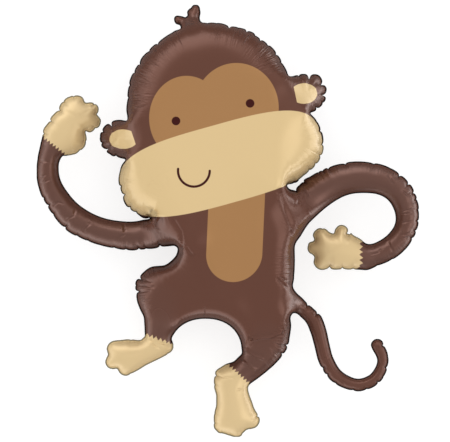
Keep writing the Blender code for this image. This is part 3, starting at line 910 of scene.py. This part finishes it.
# %% A material or world
class Shader:
    """A material, or the light of a world, under construction."""

    def __init__(self, owner, surface):
        owner.use_nodes = True
        self.tree = owner.node_tree
        self.surface = self.tree.nodes[surface]

    def node(self, kind, settings=None, *values, **named):
        """Add a node: its type, its settings, then values or links for its sockets."""
        made = self.tree.nodes.new(kind)
        for name, setting in (settings or {}).items():
            setattr(made, name, setting)
        for key, value in [*enumerate(values), *named.items()]:
            self.set(made.inputs[key], value)
        return made

    def set(self, socket, value):
        """Give a socket a value, or link another socket to it."""
        if isinstance(value, Value):
            value = value.socket
        if isinstance(value, bpy.types.NodeSocket):
            self.tree.links.new(value, socket)
        else:
            socket.default_value = value

    def parts(self, socket):
        """The three numbers of a vector socket."""
        split = self.node("ShaderNodeSeparateXYZ", None, socket)
        return [Value(self, split.outputs[k]) for k in range(3)]

    def attribute(self, name):
        """The three numbers of an attribute of the mesh."""
        made = self.node("ShaderNodeAttribute", {"attribute_name": name})
        return self.parts(made.outputs["Vector"])

    def place(self, x, y, z=0.0):
        """A vector socket made of three numbers."""
        return self.node("ShaderNodeCombineXYZ", None, x, y, z).outputs[0]

    def noise(self, place, scale):
        """Perlin noise between 0 and 1 at a place given as a vector socket."""
        made = self.node("ShaderNodeTexNoise", None, Vector=place, Scale=scale)
        return Value(self, made.outputs["Fac"])

    def ink(self, colour, over, mask):
        """One colour printed over another where the mask is 1."""
        made = self.node("ShaderNodeMix", {"data_type": "RGBA"})
        self.set(made.inputs[0], mask)
        self.set(made.inputs[6], over)
        self.set(made.inputs[7], colour)
        return made.outputs[2]


# %% [markdown]
# ## The print
# Flat inks on the front film: a brown coat, a caramel face and belly, and a tan muzzle, hands,
# feet and inner ears. Each shape is a distance worked out from the place on the flat drawing, in
# metres, and below zero inside, so its edge is as crisp as print at any size. The smaller of two
# distances joins their shapes, and the larger keeps what they share.

# %% Shapes on the drawing
film = bpy.data.materials.new("printed_foil")
foil = Shader(film, "Principled BSDF")
u, v, facing = foil.attribute("drawing")
around_seam, from_rim, loose = foil.attribute("seam")


def length(x, y):
    """Length of (x, y)."""
    return (x * x + y * y) ** 0.5


def turned(centre, degrees=0.0):
    """Coordinates from a centre, along and across a direction."""
    dx, dy = u - centre[0], v - centre[1]
    c, s = math.cos(math.radians(degrees)), math.sin(math.radians(degrees))
    return dx * c + dy * s, dy * c - dx * s


def disc(centre, radius):
    """Distance outside a disc: the distance from its centre less its radius."""
    return length(*turned(centre)) - radius


def oval(centre, half, degrees=0.0):
    """About the distance outside an ellipse: (|(x / a, y / b)| - 1) times the smaller half."""
    along, across = turned(centre, degrees)
    return (length(along / half[0], across / half[1]) - 1.0) * min(half)


def heading(start, end):
    """Direction from one place to another, in degrees."""
    return math.degrees(math.atan2(end[1] - start[1], end[0] - start[0]))


def left_of(start, end):
    """Distance to the right of the line from start to end: below zero on its left."""
    return turned(start, heading(start, end))[1] * -1.0


print("printed_foil, with the attributes that it reads:", len(foil.tree.nodes), "nodes")

# %% [markdown]
# The face is two ovals that meet in a dip. The muzzle is a fat bean: a superellipse, turned a
# little and bent up at its ends. The belly is a band that ends in a half disc. The smile is half
# a ring with straight ends.

# %% Face, muzzle, belly, eyes and smile
MUZZLE_HALF, MUZZLE_POWER, MUZZLE_CURL = (0.239, 0.0918), 3.1, 0.05
BELLY_MIDDLE, BELLY_LEAN = 0.0178, 0.045  # u of its middle line at v = 0, and its lean
BELLY_HALF, BELLY_LOW, BELLY_TOP = 0.0648, -0.0774, 0.10  # half width, v of the band's ends
EYE_RADIUS = 0.0100
SMILE_RADIUS, SMILE_HALF, SMILE_ENDS = 0.0366, 0.0028, 0.002  # and the ends' straight rise

face = oval((-0.0960, 0.2362), (0.0862, 0.0978)).least(oval((0.0192, 0.2598), (0.0978, 0.1039)))
along, across = turned((-0.0145, 0.1295), 15.6)
across = across - MUZZLE_CURL * along * along
bean = (abs(along / MUZZLE_HALF[0]) ** MUZZLE_POWER
        + abs(across / MUZZLE_HALF[1]) ** MUZZLE_POWER) ** (1 / MUZZLE_POWER)
muzzle = (bean - 1.0) * MUZZLE_HALF[1]
belly = length(u - v * BELLY_LEAN - BELLY_MIDDLE, (v - BELLY_LOW).least(0.0)) - BELLY_HALF
belly = belly.most(v - BELLY_TOP)
eyes = disc((-0.1203, 0.2298), EYE_RADIUS).least(disc((0.0508, 0.2705), EYE_RADIUS))
along, across = turned((-0.0790, 0.1148), -3.6)
arc = abs(length(along, across.least(0.0)) - SMILE_RADIUS)
smile = length(arc, across.most(SMILE_ENDS) - SMILE_ENDS) - SMILE_HALF
print("with face, muzzle, belly, eyes and smile:", len(foil.tree.nodes), "nodes")

# %% [markdown]
# Each inner ear is an oval that stops at the side of the head. The hands and feet are tan up to
# a ragged line across the wrist or ankle, like the edge of a fur cuff.

# %% Ears, hands and feet
FUR_NOISE, FUR_SHIFT = 110.0, 0.006  # unevenness of the cuffs' teeth

near_ear = oval((-0.2412, 0.1878), (0.0325, 0.0224)).most(
    left_of((-0.2138, 0.1770), (-0.2236, 0.2090)))
far_ear = oval((0.1750, 0.2930), (0.0305, 0.0236)).most(
    left_of((0.1524, 0.3048), (0.1594, 0.2718)))


def cuff(start, end, limb_end, half, tooth=0.0085, deep=0.0075):
    """A hand or foot: left of a ragged line from start to end, and inside an oval round it.

    The line is a zigzag of the given tooth width and depth, made uneven by noise.
    """
    along, across = turned(start, heading(start, end))
    ragged = foil.noise(foil.place(u, v), FUR_NOISE)
    teeth = ((along + ragged * FUR_SHIFT) / (tooth / 2)).math("PINGPONG", 1.0)
    return ((teeth - 0.5) * deep * (0.5 + ragged) - across).most(oval(limb_end, half))


hands = cuff((-0.4273, 0.1928), (-0.3741, 0.1513), (-0.380, 0.228), (0.088, 0.094)).least(
    cuff((0.307, -0.120), (0.308, -0.040), (0.2475, -0.060), (0.080, 0.066), 0.0125, 0.0085))
feet = cuff((0.051, -0.3776), (0.0046, -0.336), (0.015, -0.420), (0.075, 0.105)).least(
    cuff((-0.1293, -0.2841), (-0.1917, -0.2621), (-0.205, -0.315), (0.090, 0.070), 0.0105))
print("with ears, hands and feet:", len(foil.tree.nodes), "nodes")

# %% [markdown]
# The inks go on one over another, from the brown coat to the maroon eyes and smile. The border
# is coloured dark, near black beside the brown and greyish beside the tan, as a line round the
# rim.
# Only the front film carries the face, the ears and the belly. The back film is brown with tan
# hands and feet.

# %% Ink the film
BROWN = (0.130, 0.051, 0.033, 1.0)
CARAMEL = (0.400, 0.205, 0.080, 1.0)
TAN = (0.715, 0.525, 0.268, 1.0)
MAROON = (0.046, 0.003, 0.002, 1.0)
BROWN_EDGE = (0.006, 0.002, 0.002, 1.0)
TAN_EDGE = (0.26, 0.215, 0.12, 1.0)
INK_EDGE = 0.0009  # over which one ink ends and another starts
EDGE_WIDTH, EDGE_SOFT = 0.0032, 0.0012  # the dark line at the rim

front_side = facing.math("GREATER_THAN", 0.0)
caramel_zone = face.least(belly).below(0.0, INK_EDGE) * front_side
tan_zone = muzzle.least(near_ear).least(far_ear).below(0.0, INK_EDGE) * front_side
tan_zone = tan_zone.most(hands.least(feet).below(0.0, INK_EDGE))
colour = foil.ink(CARAMEL, BROWN, caramel_zone)
colour = foil.ink(TAN, colour, tan_zone)
colour = foil.ink(MAROON, colour, eyes.least(smile).below(0.0, INK_EDGE) * front_side)
edge_colour = foil.ink(TAN_EDGE, BROWN_EDGE, tan_zone)
colour = foil.ink(edge_colour, colour, from_rim.below(EDGE_WIDTH, EDGE_SOFT))
foil.set(foil.surface.inputs["Base Color"], colour)
print("with its inks:", len(foil.tree.nodes), "nodes")

# %% [markdown]
# ## The finish
# The film is thin plastic with a trace of metal behind its inks: a soft satin sheen, a little
# metallic, less so under the tan, and rougher in the crumpled strip beside the seam. The narrow
# limbs are crumpled more finely than a mesh can show, so they get more of the metal's sheen and
# a thin rough gloss over it. The thinnest parts get little of both, and the body none.
#
# Where the film is loose and steep it is drawn into fine wrinkles that run in from the seam, a
# few millimetres apart, and weaker on the tan. They are noise on coordinates beside the seam,
# squeezed along it and stretched across it.

# %% Sheen and fine wrinkles
ROUGH, LIMB_ROUGH = 0.22, 0.13  # of the body, and what the limbs add to it
STRIP_ROUGH, STRIP_ROUGH_AT = 0.2, (0.010, 0.012)  # what the strip adds, its width and fading
METAL, LIMB_METAL = 0.22, 0.20  # likewise
TAN_DULLER = 0.64  # share of the metal that the tan ink hides
LIMB_GLOSS, GLOSS_ROUGH = 0.62, 0.42  # the thin gloss over the limbs
GLOSS_FROM = 0.007, 0.008  # how far in from the rim the gloss starts, and its fading
SHINE = 0.25  # of the ink itself
WRINKLE_APART = 0.0045  # along the seam
WRINKLE_LONG = 0.060  # across it
WRINKLE_DEEP = 0.0054  # from the highest to the lowest value of the noise
TAN_SMOOTHER = 2 / 3  # share of the wrinkles that the tan lacks
BACK_AWAY = 7.0  # keeps the wrinkles of the two films apart in the noise

limb_sheen, _, _ = foil.attribute("sheen")
rough = ROUGH + LIMB_ROUGH * limb_sheen + STRIP_ROUGH * from_rim.below(*STRIP_ROUGH_AT)
gloss = LIMB_GLOSS * limb_sheen * (1.0 - from_rim.below(*GLOSS_FROM))
metal = (METAL + LIMB_METAL * limb_sheen) * (1.0 - TAN_DULLER * tan_zone)
beside_seam = foil.place(around_seam / WRINKLE_APART, from_rim / WRINKLE_LONG, facing * BACK_AWAY)
wrinkles = (foil.noise(beside_seam, 1.0) - 0.5) * loose * WRINKLE_DEEP
wrinkles = wrinkles * (1.0 - TAN_SMOOTHER * tan_zone)
dent = foil.node("ShaderNodeBump", None, Strength=1.0, Distance=1.0, Height=wrinkles)
for socket, value in {"Roughness": rough, "Metallic": metal, "Coat Weight": gloss,
                      "Coat Roughness": GLOSS_ROUGH, "Specular IOR Level": SHINE,
                      "Normal": dent.outputs["Normal"]}.items():
    foil.set(foil.surface.inputs[socket], value)
mesh.materials.append(film)
print("printed_foil, finished:", len(foil.tree.nodes), "nodes")

# %% [markdown]
# ## Floor, light and camera
# The balloon lies on its back on plain pale paper, which glows a little, so it stays near white.
# An even light and a large lamp overhead fall on the colours, and no gloss shows them. What the
# gloss shows is a dim room with bright panels round it, none of them overhead, so the slopes of
# the film show soft bands a little way in from the rim, and the flat middle keeps clear colours.

# %% Pale floor
FLOOR_HALF = 15.0
FLOOR_DROP = 0.0005  # keeps the floor clear of the lowest film
PAPER, PAPER_ROUGH, PAPER_GLOW = (0.36, 0.36, 0.36, 1.0), 0.9, 0.745
WHITE = 1.0, 1.0, 1.0, 1.0
floor_mesh = bpy.data.meshes.new("pale_floor")
floor_mesh.from_pydata([(x * FLOOR_HALF, y * FLOOR_HALF, -FLOOR_DROP)
                        for x, y in ((-1, -1), (1, -1), (1, 1), (-1, 1))], [], [(0, 1, 2, 3)])
floor = add_object("pale_floor", floor_mesh)
floor.visible_glossy = False
floor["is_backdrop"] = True
paper = bpy.data.materials.new("pale_paper")
sheet = Shader(paper, "Principled BSDF")
for socket, value in {"Base Color": PAPER, "Roughness": PAPER_ROUGH, "Specular IOR Level": 0.0,
                      "Emission Color": WHITE, "Emission Strength": PAPER_GLOW}.items():
    sheet.set(sheet.surface.inputs[socket], value)
floor_mesh.materials.append(paper)
print("floor: %.0f m wide" % (2 * FLOOR_HALF))

# %% Light from the room
SOFT_LIGHT = 0.93  # that falls evenly on everything
ROOM_LIGHT, BELOW_LIGHT = 0.66, 0.16  # that the gloss shows, above and below
HORIZON, HORIZON_SOFT = 0.05, 0.1  # how far below level the one gives way to the other
PANEL_SIDE_SOFT = 0.25
# The panels: strength, azimuth, half width in degrees, lowest and highest sine, softness.
PANELS = [
    (1.9, 20, 40, 0.12, 0.66, 0.18),  # beyond the head
    (0.25, -15, 60, 0.10, 0.80, 0.25),  # a faint wider one there
    (0.4, 25, 20, 0.15, 0.50, 0.12),  # a narrower one in the middle of the first
    (2.6, -92, 34, -0.70, -0.14, 0.10),  # on the right, below level
    (2.6, -103, 16, 0.20, 0.77, 0.15),  # on the right, above level
    (1.3, 70, 24, -0.20, 0.40, 0.12),  # on the left
    (1.9, 135, 50, -0.60, 0.00, 0.20),  # on the left of the feet, below level
]
room = bpy.data.worlds.new("studio")
bpy.context.scene.world = room
studio = Shader(room, "Background")
east, north, high = studio.parts(studio.node("ShaderNodeTexCoord").outputs["Generated"])


def panel(azimuth, half, low, top, soft):
    """1 inside a panel of the room: degrees from +Y towards -X, and heights as sines."""
    towards = math.radians(azimuth)
    facing = east * -math.sin(towards) + north * math.cos(towards)
    off = math.cos(math.radians(half)) - facing / length(east, north).most(0.001)
    sides = off.below(0.0, PANEL_SIDE_SOFT)
    return sides * (low - high).below(0.0, soft) * (high - top).below(0.0, soft)


light = BELOW_LIGHT + (ROOM_LIGHT - BELOW_LIGHT) * (high * -1.0).below(HORIZON, HORIZON_SOFT)
for strength, *where in PANELS:
    light = light + strength * panel(*where)
glossy = Value(studio, studio.node("ShaderNodeLightPath").outputs["Is Glossy Ray"])
studio.set(studio.surface.inputs["Strength"], SOFT_LIGHT + glossy * (light - SOFT_LIGHT))
studio.set(studio.surface.inputs["Color"], WHITE)
print("room:", len(PANELS), "panels,", len(studio.tree.nodes), "nodes")

# %% Light from above
OVERHEAD_SIZE, OVERHEAD_BRIGHT, OVERHEAD_FROM = 6.0, 0.80, (0.5, 0.4, 8.0)
lamp = bpy.data.lights.new("overhead", "AREA")
lamp.shape = "SQUARE"
lamp.size = OVERHEAD_SIZE
lamp.energy = OVERHEAD_BRIGHT * math.pi * OVERHEAD_SIZE ** 2
overhead = add_object("overhead", lamp)
overhead.location = OVERHEAD_FROM
overhead.rotation_euler = Vector(OVERHEAD_FROM).to_track_quat("Z", "Y").to_euler()
overhead.visible_glossy = False
print("overhead lamp: %.0f W, %.0f m wide" % (lamp.energy, lamp.size))

# %% [markdown]
# The camera looks straight down at the seam plane. It stands well back, so that the blown film
# and the flat border are seen at nearly one scale.

# %% Camera
VIEW_WIDTH = 1.03926  # of the seam plane, in metres
AIM = (-0.0069, -0.0012)  # middle of the view, on the drawing
SENSOR = 36.0
view = bpy.data.cameras.new("camera")
view.sensor_width = SENSOR
view.lens = SENSOR * VIEW_DISTANCE / VIEW_WIDTH
view.clip_end = 50.0
camera = add_object("camera", view)
stand = zero + np.array([*AIM, VIEW_DISTANCE]) @ axes
camera.matrix_world = Matrix.LocRotScale(Vector(stand), Matrix(axes.T.tolist()), None)
bpy.context.scene.camera = camera
bpy.context.scene.view_settings.view_transform = "Standard"
print("camera: %.0f mm lens, %.1f m off the seam plane" % (view.lens, VIEW_DISTANCE))

# %% [markdown]
# ## Size
# The balloon must stay as big as the imported solid, so both boxes are set side by side, and the
# largest step of the balloon past the packed box is printed.

# %% Check the size and finish
bpy.context.view_layer.update()
size = {"cad": [list(corner) for corner in packed_box],
        "visual": [list(corner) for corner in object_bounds()]}
past = np.subtract(size["visual"], size["cad"]) * [[-1], [1]]
print("largest step outside the packed box: %.2f mm" % (1000 * past.max()))
